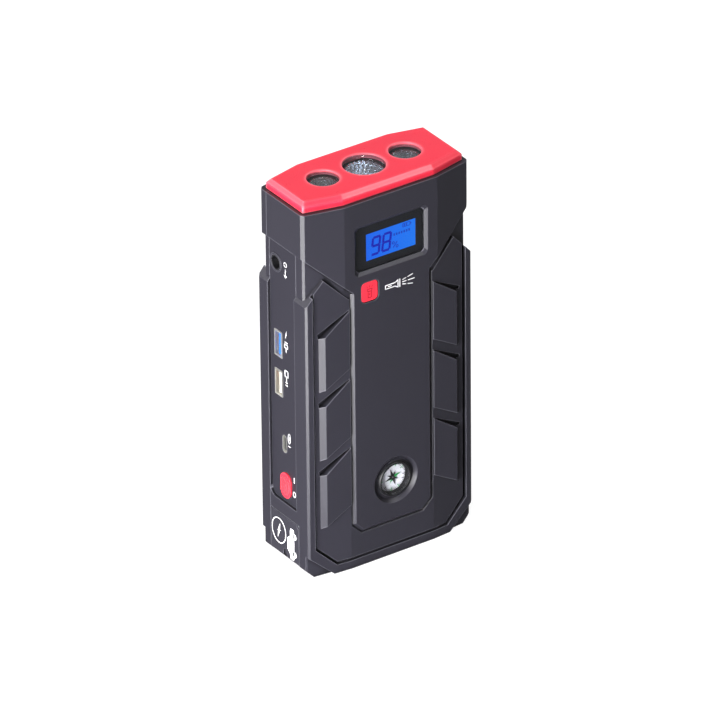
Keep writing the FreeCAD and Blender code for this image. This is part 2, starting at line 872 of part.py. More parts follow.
def makeLamps():
    base = s.lamp_board_level + s.board_thickness
    chips = []
    for side, x, radius, sink in lamps():
        wall = s.reflector_wall
        mouth = radius - wall
        tall = plateUnder - base
        throat = 2.5
        finish(turned(side + "_reflector", "+Z", [
            (throat, middle), (throat + wall, middle), (radius * 0.72 + wall, tall * 0.45),
            (radius, tall - 0.9), (radius + 1.0, tall - 0.9), (radius + 1.0, tall), (mouth, tall),
            (radius * 0.72, tall * 0.45),
        ], x, 0, base), side + "_reflector")
        thick = s.cap_plate - sink
        finish(turned(side + "_lens", "+Z", [
            (middle, middle), (radius, middle), (radius, thick - 0.4), (radius - 0.4, thick), (middle, thick),
        ], x, 0, plateUnder), side + "_lens")
        chips.append(fuse("lamp_chip_" + side, [
            block("chip_base_" + side, x - 1.7, x + 1.7, -1.7, 1.7, base, base + 0.7),
            rod("chip_dome_" + side, "+Z", 1.3, 0.6, x, 0, base + 0.7),
        ]))
    finish(group("lamp_chips", chips), "lamp_chips")
    board = block("lamp_board", -lampHalf, lampHalf, -9.5, 9.5, s.lamp_board_level, base)
    finish(board, "lamp_board")


# ---- display, front board and torch button ----

def makeDisplay():
    finish(rounded("display_window", "XZ", windowX0, windowX1, windowZ0, windowZ1, 1.2,
                   displayFloor - s.window_thickness, displayFloor), "display_window")
    glassFront = displayFloor + 0.1
    glassBack = glassFront + s.lcd_thickness
    x0 = s.lcd_shift - s.lcd_width / 2
    x1 = s.lcd_shift + s.lcd_width / 2
    z0 = lcdLevel - s.lcd_height / 2
    z1 = lcdLevel + s.lcd_height / 2
    finish(block("lcd_glass", x0, x1, glassFront, glassBack, z0, z1), "lcd_glass")
    finish(block("lcd_backlight", x0 - 1.5, x1 + 1.5, glassBack, frontBoard, z0 - 1.5, z1 + 1.5), "lcd_backlight")
    finish(block("front_board", -frontBoardHalf, frontBoardHalf, frontBoard, frontBoard + s.board_thickness,
                 frontBoardFoot, frontBoardTop), "front_board")


def makeTactSwitch(name, way, x, y, z, half=2.2):
    """A push switch: a square body with a round plunger that points the given way."""
    sign = size(-1)
    if way == "-Y":
        body = block(name + "_body", x - 3.0, x + 3.0, y - 2.3, y, z - 3.0, z + 3.0)
        plunger = rod(name + "_plunger", way, 1.7, 0.4, x, y + sign * 2.3, z)
    else:
        body = block(name + "_body", x, x + 3.4, y - half, y + half, z - 3.0, z + 3.0)
        plunger = rod(name + "_plunger", way, 1.4, 0.8, x, y, z)
    return finish(fuse(name, [body, plunger]), name)


def makeTorchButton():
    level = s.torch_button_level
    wide = s.torch_button_width / 2
    tall = s.torch_button_height / 2
    flangeFront = -innerFront + 0.3
    flangeBack = flangeFront + 0.8
    face = rounded("torch_button_face", "XZ", buttonX - wide, buttonX + wide, level - tall, level + tall, 2.2,
                   -halfDepth + 0.2, flangeFront + 0.1)
    flange = rounded("torch_button_flange", "XZ", buttonX - wide - 1.2, buttonX + wide + 1.2,
                     level - tall - 1.2, level + tall + 1.2, 2.6, flangeFront, flangeBack)
    finish(fuse("torch_button", [face, flange]), "torch_button")
    makeTactSwitch("torch_switch", "-Y", buttonX, frontBoard, level)


# ---- compass ----

def makeCompass():
    x = s.compass_offset
    level = s.compass_level
    rim = ringRadius
    dial = s.compass_dial_width / 2
    innerWall = -innerFront
    ringFront = -halfDepth + 0.15
    ringBack = ringFront + 1.1
    floorFace = ringBack + s.compass_cup_depth - 1.0
    cupBack = floorFace + 0.9
    reach = cupBack - ringBack
    flange = cupBack - innerWall
    finish(turned("compass_cup", "-Y", [
        (middle, middle), (rim + 1.4, middle), (rim + 1.4, flange), (rim, flange), (rim, reach),
        (rim - 0.9, reach), (rim - 0.9, cupBack - floorFace), (middle, cupBack - floorFace),
    ], x, cupBack, level), "compass_cup")
    finish(turned("compass_ring", "-Y", [
        (rim - 1.1, middle), (rim, middle), (rim, size(0.7)), (rim - 0.4, size(1.1)), (rim - 1.1, size(1.1)),
    ], x, ringBack, level), "compass_ring")
    finish(turned("compass_dome", "-Y", [
        (middle, middle), (rim - 1.2, middle), (rim - 1.2, size(0.5)), (rim - 2.6, size(0.9)),
        (middle, size(1.0)),
    ], x, ringBack, level), "compass_dome")
    cardBack = ringBack + 2.3
    pin = 0.4
    finish(turned("compass_card", "-Y", [
        (pin + s.pin_clearance, middle), (dial, middle), (dial, size(0.5)), (pin + 1.0, size(0.5)),
        (pin + 1.0, size(0.9)), (pin + s.pin_clearance, size(0.9)),
    ], x, cardBack, level), "compass_card")
    finish(turned("compass_pivot", "-Y", [
        (middle, middle), (size(1.2), middle), (size(1.2), floorFace - cardBack - 0.2),
        (size(pin), floorFace - cardBack - 0.2), (size(pin), floorFace - cardBack + 1.1),
        (middle, floorFace - cardBack + 1.1),
    ], x, floorFace, level), "compass_pivot")


# ---- port column ----

def portHoles():
    gap = 0.15
    holes = []
    for name, level in (("fast", s.fast_usb_level), ("plain", s.plain_usb_level)):
        holes.append(rounded("usb_hole_" + name, "YZ", s.usb_offset - s.usb_width / 2 - gap,
                             s.usb_offset + s.usb_width / 2 + gap, level - s.usb_height / 2 - gap,
                             level + s.usb_height / 2 + gap, 0.6, portFace - past, portBack + past))
    holes.append(rounded("usb_c_hole", "YZ", s.usb_c_offset - s.usb_c_width / 2 - gap,
                         s.usb_c_offset + s.usb_c_width / 2 + gap, s.usb_c_level - s.usb_c_height / 2 - gap,
                         s.usb_c_level + s.usb_c_height / 2 + gap, s.usb_c_width / 2 + gap - 0.01,
                         portFace - past, portBack + past))
    holes.append(rod("jack_hole", "+X", s.jack_bore / 2 + 0.5 + gap, s.port_plate + 2 * past, portFace - past,
                     s.jack_offset, s.jack_level))
    wide = s.power_button_width / 2 + s.button_clearance
    tall = s.power_button_height / 2 + s.button_clearance
    holes.append(rounded("power_hole", "YZ", s.power_button_offset - wide, s.power_button_offset + wide,
                         s.power_button_level - tall, s.power_button_level + tall, wide - 0.01,
                         portFace - past, portBack + past))
    return holes


def makePortPlate():
    gap = s.port_clearance
    front = -s.port_front_offset + gap
    rear = s.seam_offset - gap
    foot = s.port_foot + gap
    plate = cornered("port_plate_blank", "YZ", front, rear, foot, s.chin_side_level - gap, s.port_corner - gap,
                     portFace, portBack, rear, foot)
    raised = rod("jack_rim", "-X", s.jack_bore / 2 + 1.5, 0.8, portFace + 0.5, s.jack_offset, s.jack_level)
    finish(cut("port_plate", fuse("port_plate_whole", [plate, raised]), portHoles()), "port_plate")


def makeUsbSocket(label, tongueLabel, level):
    """A metal shell with a tongue along its rear side and a closed back."""
    y0 = s.usb_offset - s.usb_width / 2
    y1 = s.usb_offset + s.usb_width / 2
    z0 = level - s.usb_height / 2
    z1 = level + s.usb_height / 2
    skin = 0.35
    length = 13.5
    shell = cut(label + "_part", rounded(label + "_skin", "YZ", y0, y1, z0, z1, 0.5, portFace, portFace + length), [
        block(label + "_room", portFace - past, portFace + length - 0.6, y0 + skin, y1 - skin, z0 + skin,
              z1 - skin)])
    finish(shell, label)
    tongue = block(tongueLabel + "_blade", portFace + 0.9, portFace + length - 0.6, y0 + skin + 0.5, y0 + skin + 2.4,
                   z0 + skin + 0.7, z1 - skin - 0.7)
    root = block(tongueLabel + "_root", portFace + length - 3.2, portFace + length - 0.6, y0 + skin + 0.05,
                 y1 - skin - 0.05, z0 + skin + 0.05, z1 - skin - 0.05)
    finish(fuse(tongueLabel + "_whole", [tongue, root]), tongueLabel)


def makePorts():
    makeUsbSocket("fast_usb_shell", "fast_usb_tongue", s.fast_usb_level)
    makeUsbSocket("plain_usb_shell", "plain_usb_tongue", s.plain_usb_level)
    risers = []
    for name, level in (("fast", s.fast_usb_level), ("plain", s.plain_usb_level)):
        risers.append(block("riser_" + name, portFace + 4.0, portFace + 13.0, portBoard,
                            s.usb_offset - s.usb_width / 2, level - 5.5, level + 5.5))
    risers.append(block("riser_c", portFace + 4.0, portFace + 7.5, portBoard, s.usb_c_offset - s.usb_c_width / 2,
                        s.usb_c_level - 3.0, s.usb_c_level + 3.0))
    finish(group("usb_risers", risers), "usb_risers")
    y0 = s.usb_c_offset - s.usb_c_width / 2
    y1 = s.usb_c_offset + s.usb_c_width / 2
    z0 = s.usb_c_level - s.usb_c_height / 2
    z1 = s.usb_c_level + s.usb_c_height / 2
    outer = rounded("usb_c_skin", "YZ", y0, y1, z0, z1, s.usb_c_width / 2 - 0.01, portFace, portFace + 8.0)
    room = rounded("usb_c_room", "YZ", y0 + 0.3, y1 - 0.3, z0 + 0.3, z1 - 0.3, s.usb_c_width / 2 - 0.31,
                   portFace - past, portFace + 7.4)
    finish(cut("usb_c_shell", outer, [room]), "usb_c_shell")
    finish(block("usb_c_tongue", portFace + 0.6, portFace + 7.4, s.usb_c_offset - 0.35, s.usb_c_offset + 0.35,
                 z0 + 1.3, z1 - 1.3), "usb_c_tongue")


def makeJack():
    bore = s.jack_bore / 2
    nose = turned("jack_nose", "-X", [
        (bore, middle), (bore + 0.5, middle), (bore + 0.5, s.port_plate + 0.3), (bore, s.port_plate + 0.3),
    ], portBack, s.jack_offset, s.jack_level)
    body = cut("jack_body", block("jack_blank", portBack, portBack + 11.0, s.jack_offset - 4.0,
                                  s.jack_offset + 4.0, s.jack_level - 4.5, s.jack_level + 4.5),
               [rod("jack_room", "+X", bore, 9.5, portBack - 0.5, s.jack_offset, s.jack_level)])
    finish(fuse("output_jack", [body, nose]), "output_jack")
    finish(turned("output_jack_pin", "-X", [
        (middle, middle), (size(1.05), middle), (size(1.05), size(6.0)), (size(0.75), size(6.4)),
        (middle, size(6.4)),
    ], portBack + 9.0, s.jack_offset, s.jack_level), "output_jack_pin")


def makePowerButton():
    level = s.power_button_level
    offset = s.power_button_offset
    wide = s.power_button_width / 2
    tall = s.power_button_height / 2
    face = rounded("power_button_face", "YZ", offset - wide, offset + wide, level - tall, level + tall,
                   wide - 0.01, portFace - 0.9, portBack + 0.4)
    flange = rounded("power_button_flange", "YZ", offset - wide - 1.0, offset + wide + 1.0, level - tall - 1.0,
                     level + tall + 1.0, wide, portBack + 0.3, portBack + 1.1)
    stem = rod("power_button_stem", "+X", 1.3, 1.7, portBack + 1.0, offset, level)
    finish(fuse("power_button", [face, flange, stem]), "power_button")
    makeTactSwitch("power_switch", "-X", portBack + 4.3, offset, level, offset - portBoard)


def makePortBoard():
    under = portBoard - s.board_thickness
    finish(block("port_board", -innerSide + 0.2, portBoardEnd, under, portBoard, s.port_foot - 1.6,
                 s.jack_level - 7.0), "port_board")
    level = s.usb_c_level + 2.0
    coil = block("choke", portBoardEnd - 10.5, portBoardEnd - 2.5, under - 6.0, under, level, level + 8.0)
    cans = [rod("capacitor_" + str(number), "-Y", 3.0, 8.0, portBoardEnd - 6.5, under, level + rise)
            for number, rise in enumerate((30.0, 38.0), start=1)]
    finish(group("power_parts", [coil] + cans), "power_parts")


# ---- starting socket and its cover ----

def makeSocket():
    y0 = socketMiddle - s.socket_width / 2
    y1 = socketMiddle + s.socket_width / 2
    z0 = socketLevel - s.socket_height / 2
    z1 = socketLevel + s.socket_height / 2
    mouthDeep = 5.0
    back = pocketFloor + s.socket_length
    housing = block("socket_blank", pocketFloor, back, y0, y1, z0, z1)
    mouth = rounded("socket_mouth", "YZ", y0 + 1.2, y1 - 1.2, z0 + 1.6, z1 - 1.6, 1.5, pocketFloor - past,
                    pocketFloor + mouthDeep)
    bores = []
    contacts = []
    for number, side in enumerate((-1, 1), start=1):
        y = socketMiddle + s.contact_pitch / 2 * side
        bores.append(rod("contact_bore_" + str(number), "+X", s.contact_width / 2 + 0.05, s.socket_length,
                         pocketFloor + 1, y, socketLevel))
        contacts.append(turned("contact_" + str(number), "-X", [
            (middle, middle), (s.contact_width / 2, middle),
            (s.contact_width / 2, s.socket_length - mouthDeep + 1.0),
            (s.contact_width / 2 - 0.7, s.socket_length - mouthDeep + 1.0),
            (s.contact_width / 2 - 0.7, size(4.0)), (middle, size(4.0)),
        ], back + 1.0, y, socketLevel))
    finish(cut("starting_socket", housing, [mouth] + bores), "starting_socket")
    finish(group("socket_contacts", contacts), "socket_contacts")


def makeCover():
    front = -s.cover_front_offset
    rear = s.seam_offset - 0.3
    radius = s.cover_thickness / 2
    foot = s.foot_bevel + 0.2
    bevelled = prism("cover_side", "XZ", [
        (-halfWidth, foot), (coverInner, foot - s.cover_thickness), (coverInner, hingeLevel), (-halfWidth, hingeLevel),
    ], front, rear)
    top = hingeLevel + radius
    face = prism("cover_face", "YZ", [
        (front, size(0)), (rear, size(0)), (rear, top), (front + s.cover_corner, top), (front, top - s.cover_corner),
    ], -halfWidth - past, coverInner + past)
    knuckle = rod("cover_knuckle", "+Y", radius, rear - front, hingeX, front, hingeLevel)
    whole = common("cover_form", fuse("cover_whole", [bevelled, knuckle]), face)
    bore = rod("cover_bore", "+Y", s.hinge_pin_width / 2 + s.pin_clearance, rear - front + 2 * past, hingeX,
               front - past, hingeLevel)
    notchTop = foot + s.notch_height - s.notch_width / 2
    notch = fuse("cover_notch", [
        block("notch_slot", -halfWidth - past, -halfWidth + s.notch_depth, socketMiddle - s.notch_width / 2,
              socketMiddle + s.notch_width / 2, foot, notchTop),
        rod("notch_round", "+X", s.notch_width / 2, past + s.notch_depth, -halfWidth - past, socketMiddle, notchTop),
    ])
    finish(cut("socket_cover", whole, [bore, notch]), "socket_cover")
    finish(rod("cover_pin", "+Y", s.hinge_pin_width / 2, pinLength(), hingeX, pinStart(), hingeLevel),
           "cover_pin")


# ---- battery ----

stackHalf = innerFront - 3.0 - s.cell_wall_gap
cellDeep = (stackHalf * 2 - (s.cell_count - 1) * s.cell_gap) / s.cell_count


def cellMiddle(number):
    return -stackHalf + cellDeep / 2 + (cellDeep + s.cell_gap) * number


def makeBattery():
    x0 = cellX0
    x1 = cellX1
    top = cellTop
    count = int(s.cell_count.value)
    tabs = []
    tabTop = top + s.tab_height
    for number in range(count):
        y = cellMiddle(number)
        label = "cell_" + str(number + 1)
        finish(rounded(label, "XZ", x0, x1, s.cell_level, top, 2.0, y - cellDeep / 2, y + cellDeep / 2), label)
        for side, start in (("near", x0 + 10.0), ("far", x1 - 20.0)):
            tabs.append(block("tab_" + side + str(number), start, start + 10.0, y - 0.15, y + 0.15, top, tabTop))
    finish(group("cell_tabs", tabs), "cell_tabs")
    strip = s.strip_thickness
    links = []
    for number in range(count - 1):
        start = x1 - 20.0 if number % 2 == 0 else x0 + 10.0
        links.append(block("link_" + str(number), start, start + 10.0, cellMiddle(number) - 1.0,
                           cellMiddle(number + 1) + 1.0, tabTop, tabTop + strip))
    finish(group("series_links", links), "series_links")
    for label, number, side in (("negative_bar", 0, -1), ("positive_bar", count - 1, 1)):
        y = cellMiddle(number)
        inner = socketMiddle + 2.4 * side
        outer = y + 2.0 * side
        low, high = (inner, outer) if side > 0 else (outer, inner)
        upright = block(label + "_upright", stripBack, stripBack + strip, low, high, socketLevel - 3.5,
                        tabTop + strip)
        arm = block(label + "_arm", stripBack, x0 + 20.0, y - 1.6, y + 1.6, tabTop, tabTop + strip)
        finish(fuse(label + "_whole", [upright, arm]), label)
    frontFoot = s.compass_level + ringRadius + 3.2
    for label, low, high, foot in (("front_foam", -innerFront, -stackHalf, frontFoot),
                                   ("rear_foam", stackHalf, innerFront, s.cell_level + 4.0)):
        finish(block(label, -grooveHalf + 7.0, grooveHalf - 1.0, low, high, foot, top - 4.0), label)


# ---- fasteners ----

def makeScrews():
    screws = []
    for number, (x, z) in enumerate(bossPlaces, start=1):
        name = "screw_" + str(number)
        shank = rod(name + "_shank", "-Y", s.screw_width / 2, screwReach, x, headSeat, z)
        head = rod(name + "_head", "+Y", s.screw_head_width / 2, 1.9, x, headSeat, z)
        socket = prism(name + "_socket", "XZ", [(x - 1.1, z - 0.4), (x + 1.1, z - 0.4), (x + 1.1, z + 0.4),
                                                (x - 1.1, z + 0.4)], headSeat + 0.9, headSeat + 3.0)
        screws.append(cut(name, fuse(name + "_whole", [shank, head]), [socket]))
    finish(group("case_screws", screws), "case_screws")


def check():
    """Stop if any object failed or any finished piece isn't a sound solid."""
    for thing in doc.Objects:
        if "Invalid" in thing.State or "Error" in thing.State:
            raise RuntimeError("failed: " + thing.Name + " " + str(thing.State))
    for thing in finished:
        if thing.Shape.isNull() or not thing.Shape.isValid() or not thing.Shape.Solids:
            raise RuntimeError("bad shape: " + thing.Label)


def export():
    os.makedirs("parts", exist_ok=True)
    for thing in finished:
        thing.Shape.exportStep("parts/" + thing.Label + ".step")
        box = thing.Shape.BoundBox
        print("{:18s} {:2d} solid(s) {:9.1f} mm3  x {:6.1f} {:6.1f}  y {:6.1f} {:6.1f}  z {:6.1f} {:6.1f}".format(
            thing.Label, len(thing.Shape.Solids), thing.Shape.Volume, box.XMin, box.XMax, box.YMin, box.YMax,
            box.ZMin, box.ZMax))


makeShells()
makeCap()
makeLamps()
makeDisplay()
makeTorchButton()
makeCompass()
makePortPlate()
makePorts()
makeJack()
makePowerButton()
makePortBoard()
makeSocket()
makeCover()
makeBattery()
makeScrews()
doc.recompute()
check()
export()
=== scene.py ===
import json
import math

import bmesh
import bpy
from mathutils import Euler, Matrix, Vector


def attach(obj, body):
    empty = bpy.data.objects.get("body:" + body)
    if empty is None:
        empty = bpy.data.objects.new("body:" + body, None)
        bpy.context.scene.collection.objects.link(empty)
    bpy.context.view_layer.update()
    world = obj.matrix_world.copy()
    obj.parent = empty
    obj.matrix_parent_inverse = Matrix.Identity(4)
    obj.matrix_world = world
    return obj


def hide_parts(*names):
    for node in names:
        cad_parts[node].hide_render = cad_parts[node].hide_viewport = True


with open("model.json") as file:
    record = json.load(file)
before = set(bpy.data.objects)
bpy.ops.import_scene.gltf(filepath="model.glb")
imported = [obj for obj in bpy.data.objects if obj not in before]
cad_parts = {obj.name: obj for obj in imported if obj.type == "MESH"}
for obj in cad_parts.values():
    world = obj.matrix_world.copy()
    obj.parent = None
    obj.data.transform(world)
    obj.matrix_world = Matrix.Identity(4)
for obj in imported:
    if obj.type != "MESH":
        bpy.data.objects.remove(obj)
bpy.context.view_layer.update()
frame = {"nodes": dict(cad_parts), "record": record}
scene = bpy.context.scene
mm = 0.001
print("frame loaded:", len(frame["nodes"]), "nodes")

slotOf = {s["node"]: s["material_slot"] for s in frame["record"]["subparts"]}
bodyOf = {n: b for b, nodes in frame["record"]["behaviour"]["bodies"].items() for n in nodes}


def linear(hexColour):
    # sRGB hex to the linear values that the shaders take
    channels = [int(hexColour[i:i + 2], 16) / 255 for i in (1, 3, 5)]
    return [c / 12.92 if c <= 0.04045 else ((c + 0.055) / 1.055) ** 2.4 for c in channels] + [1.0]


def addNode(material, kind, settings=None, links=None, **inputs):
    # one shader node with its settings, its incoming links and its input values
    node = material.node_tree.nodes.new(kind)
    for name, value in (settings or {}).items():
        setattr(node, name, value)
    for name, value in inputs.items():
        # i6 means input number 6, any other name is the input's own with its spaces as underscores
        numbered = name[0] == "i" and name[1:].isdigit()
        node.inputs[int(name[1:]) if numbered else name.replace("_", " ")].default_value = value
    for name, source in (links or {}).items():
        material.node_tree.links.new(source, node.inputs[name])
    return node


def newMaterial(name, **sockets):
    material = bpy.data.materials.new(name)
    material.use_nodes = True
    shader = material.node_tree.nodes["Principled BSDF"]
    for socket, value in sockets.items():
        shader.inputs[socket.replace("_", " ")].default_value = value
    return material, shader


def link(material, source, shader, socket):
    material.node_tree.links.new(source, shader.inputs[socket])


# materials

def mouldedPlastic(name, base, dark, highlightColour, rough, grainMm, grainDepth, shadeMm=3.4, highlightMm=0.4, highlightLift=0.3,
                   gloss=0.3):
    # injection-moulded plastic: base colour, with painted shade darkening its creases and a painted highlight
    # making its corners paler
    material, shader = newMaterial(name, IOR=1.52, Specular_IOR_Level=gloss)
    place = addNode(material, "ShaderNodeTexCoord")
    cloud = addNode(material, "ShaderNodeTexNoise", links={"Vector": place.outputs["Object"]},
                    Scale=28.0, Detail=3.0)
    tone = addNode(material, "ShaderNodeMapRange", links={"Value": cloud.outputs["Fac"]},
                   To_Min=0.93, To_Max=1.07)
    # painted shade: occlusion within shadeMm darkens the colour towards the dark colour
    shadeOcclusion = addNode(material, "ShaderNodeAmbientOcclusion", {"samples": 8}, Distance=shadeMm * mm)
    inner = addNode(material, "ShaderNodeMapRange", links={"Value": shadeOcclusion.outputs["AO"]},
                    From_Min=0.35, From_Max=0.85)
    body = addNode(material, "ShaderNodeMix", {"data_type": "RGBA"}, {"Factor": inner.outputs["Result"]},
                   i6=linear(dark), i7=linear(base))
    # painted highlight: convex corners, found by occlusion from inside the mesh, are lifted towards the pale
    # highlight colour
    corner = addNode(material, "ShaderNodeAmbientOcclusion",
                     {"samples": 8, "inside": True, "only_local": True}, Distance=highlightMm * mm)
    paintedHighlightMask = addNode(material, "ShaderNodeMapRange", links={"Value": corner.outputs["AO"]},
                   From_Min=0.95, From_Max=0.55, To_Max=highlightLift)
    highlightedColour = addNode(material, "ShaderNodeMix", {"data_type": "RGBA"},
                     {"Factor": paintedHighlightMask.outputs["Result"], 6: body.outputs[2]}, i7=linear(highlightColour))
    tinted = addNode(material, "ShaderNodeHueSaturation",
                     links={"Color": highlightedColour.outputs[2], "Value": tone.outputs["Result"]})
    link(material, tinted.outputs["Color"], shader, "Base Color")
    grain = addNode(material, "ShaderNodeTexNoise", links={"Vector": place.outputs["Object"]},
                    Scale=1 / (grainMm * mm), Detail=2.0)
    sheen = addNode(material, "ShaderNodeMapRange", links={"Value": grain.outputs["Fac"]},
                    To_Min=rough - 0.06, To_Max=rough + 0.06)
    link(material, sheen.outputs["Result"], shader, "Roughness")
    rounding = addNode(material, "ShaderNodeBevel", {"samples": 4}, Radius=0.25 * mm)
    bump = addNode(material, "ShaderNodeBump",
                   links={"Height": grain.outputs["Fac"], "Normal": rounding.outputs["Normal"]},
                   Strength=grainDepth, Distance=0.05 * mm)
    link(material, bump.outputs["Normal"], shader, "Normal")
    return material


def plainMetal(name, colour, rough, brushMm=(0.3, 4.0, 0.3)):
    # rolled or plated metal: fine streaks along the sheet break up its shine
    material, shader = newMaterial(name, Metallic=1.0)
    place = addNode(material, "ShaderNodeTexCoord")
    stretch = addNode(material, "ShaderNodeMapping", links={"Vector": place.outputs["Object"]},
                      Scale=[1 / (s * mm) for s in brushMm])
    streak = addNode(material, "ShaderNodeTexNoise", links={"Vector": stretch.outputs["Vector"]},
                     Scale=1.0, Detail=3.0)
    shine = addNode(material, "ShaderNodeMapRange", links={"Value": streak.outputs["Fac"]},
                    To_Min=rough - 0.07, To_Max=rough + 0.07)
    link(material, shine.outputs["Result"], shader, "Roughness")
    shade = addNode(material, "ShaderNodeValToRGB", links={"Fac": streak.outputs["Fac"]})
    shade.color_ramp.elements[0].color = [c * 0.8 for c in linear(colour)[:3]] + [1]
    shade.color_ramp.elements[1].color = linear(colour)
    link(material, shade.outputs["Color"], shader, "Base Color")
    bump = addNode(material, "ShaderNodeBump", links={"Height": streak.outputs["Fac"]},
                   Strength=0.15, Distance=0.02 * mm)
    link(material, bump.outputs["Normal"], shader, "Normal")
    return material


def clearPlastic(name, tint, clearness, rough, ior):
    # polished clear plastic: light goes straight through and the surface mirrors at a slant
    material, shader = newMaterial(name, Roughness=rough, IOR=ior)
    material.node_tree.nodes.remove(shader)
    output = material.node_tree.nodes["Material Output"]
    place = addNode(material, "ShaderNodeTexCoord")
    ripple = addNode(material, "ShaderNodeTexNoise", links={"Vector": place.outputs["Object"]}, Scale=120.0)
    bump = addNode(material, "ShaderNodeBump", links={"Height": ripple.outputs["Fac"]},
                   Strength=0.05, Distance=0.1 * mm)
    through = addNode(material, "ShaderNodeBsdfTransparent", Color=linear(tint))
    mirror = addNode(material, "ShaderNodeBsdfGlossy", links={"Normal": bump.outputs["Normal"]},
                     Roughness=rough, Color=linear("#ffffff"))
    slant = addNode(material, "ShaderNodeLayerWeight", links={"Normal": bump.outputs["Normal"]},
                    Blend=(ior - 1) * 0.4)
    amount = addNode(material, "ShaderNodeMapRange", links={"Value": slant.outputs["Facing"]},
                     To_Min=1 - clearness, To_Max=0.1)
    parts = {"Fac": amount.outputs["Result"], 1: through.outputs["BSDF"], 2: mirror.outputs["BSDF"]}
    mix = addNode(material, "ShaderNodeMixShader", links=parts)
    material.node_tree.links.new(mix.outputs["Shader"], output.inputs["Surface"])
    return material


def litPanel(name, low, high, brightness, x0, x1):
    # back-lit liquid crystal: an even glow, a little paler towards one side, with a faint cell grid
    material, shader = newMaterial(name, Roughness=0.25, Base_Color=linear("#05102a"),
                                   Emission_Strength=brightness)
    place = addNode(material, "ShaderNodeTexCoord")
    split = addNode(material, "ShaderNodeSeparateXYZ", links={"Vector": place.outputs["Object"]})
    across = addNode(material, "ShaderNodeMapRange", links={"Value": split.outputs["X"]},
                     From_Min=x0, From_Max=x1)
    cells = addNode(material, "ShaderNodeTexNoise", links={"Vector": place.outputs["Object"]},
                    Scale=1 / (0.4 * mm))
    flicker = addNode(material, "ShaderNodeMapRange", links={"Value": cells.outputs["Fac"]},
                      To_Min=0.95, To_Max=1.05)
    glow = addNode(material, "ShaderNodeMix", {"data_type": "RGBA"}, {"Factor": across.outputs["Result"]},
                   i6=linear(low), i7=linear(high))
    even = addNode(material, "ShaderNodeHueSaturation",
                   links={"Color": glow.outputs[2], "Value": flicker.outputs["Result"]})
    link(material, even.outputs["Color"], shader, "Emission Color")
    return material


materials = {
    # each moulding lists its own colour, then the painted shade colour for its creases, then the painted
    # highlight colour for its corners
    # ABS moulded in a fine spark-eroded tool: satin charcoal with a violet cast and a soft grain
    "case": mouldedPlastic("satinMouldedAbs", "#26252d", "#030304", "#8a8a96", 0.42, 0.45, 0.3),
    # the same ABS from a smoother tool: slightly darker and a little cooler
    "port_plate": mouldedPlastic("smoothMouldedAbs", "#24232b", "#040405", "#7c7c88", 0.4, 0.45, 0.2),
    # gloss-moulded coloured ABS: strong red with a broad soft shine
    # its pale pink is a broad painted highlight along the bevels, and its deep red is painted shade in the
    # creases
    "cap": mouldedPlastic("glossMouldedRedAbs", "#dc1f3a", "#6a0a16", "#ff9aa8",
                          0.3, 0.6, 0.08, 1.2, 1.7, 0.5, 0.5),
    # tinted translucent ABS over the switch: coral red that looks softly lit
    "button": mouldedPlastic("tintedMouldedAbs", "#da2a3b", "#5e0a12", "#ff7c88",
                             0.35, 0.4, 0.1, 0.8, 0.3, 0.3, 0.4),
    # thermoplastic rubber: matt, very slightly paler than the case
    "rubber": mouldedPlastic("mouldedRubber", "#28272f", "#030304", "#7d7d88",
                             0.55, 0.5, 0.3, 1.2, 0.3, 0.3),
    "white_moulding": mouldedPlastic("mouldedIvoryNylon", "#d9d9cc", "#6f6f66", "#ffffff",
                                     0.45, 0.4, 0.1, 0.8, 0.2, 0.3),
    "blue_moulding": mouldedPlastic("mouldedBlueNylon", "#1261dc", "#06265f", "#5c9cff",
                                    0.4, 0.4, 0.1, 0.8, 0.2, 0.3),
    "black_moulding": mouldedPlastic("mouldedBlackNylon", "#141417", "#020202", "#4a4a50",
                                     0.4, 0.5, 0.2, 0.8, 0.2, 0.5),
    "board": mouldedPlastic("solderMaskedLaminate", "#0f5a2c", "#062412", "#3f9960", 0.35, 0.8, 0.15),
    "foam": mouldedPlastic("closedCellFoam", "#2a2a2c", "#0a0a0b", "#3c3c40", 0.9, 0.8, 0.8),
    # phosphor over the light chips: a glow that stands in for light, though the torch is switched off, put
    # there so that the facets catch glints
    "chip": litPanel("glowingPhosphorGel", "#fff6e0", "#fffaf0", 34.0, -0.03, 0.03),
    "dial": mouldedPlastic("printedDialCard", "#e9eaee", "#9d9fa4", "#ffffff",
                           0.45, 0.3, 0.05, 0.4, 0.1, 0.2),
    # nickel-plated steel: bright, slightly warm, fine rolling lines
    "nickel": plainMetal("platedNickel", "#ecebe6", 0.5),
    "steel": plainMetal("zincPlatedSteel", "#b9bcc2", 0.35),
    "copper": plainMetal("rolledCopper", "#d98b5f", 0.35),
    "pouch": plainMetal("laminatedFoil", "#c3c6cb", 0.4, (2.0, 2.0, 2.0)),
    "reflector": plainMetal("vacuumMetalledAbs", "#f4f5f8", 0.14, (1.5, 1.5, 1.5)),
    # clear polycarbonate and acrylic covers
    "lens": clearPlastic("polishedPolycarbonate", "#eef2f6", 0.96, 0.03, 1.58),
    "window": clearPlastic("smokedAcrylic", "#f4f6fa", 0.985, 0.05, 1.49),
    "clear": clearPlastic("polishedAcrylic", "#f8f8fa", 0.96, 0.03, 1.49),
    "lcd": litPanel("backLitLiquidCrystal", "#0868f4", "#0f80fa", 1.0, -0.015, 0.018),
}
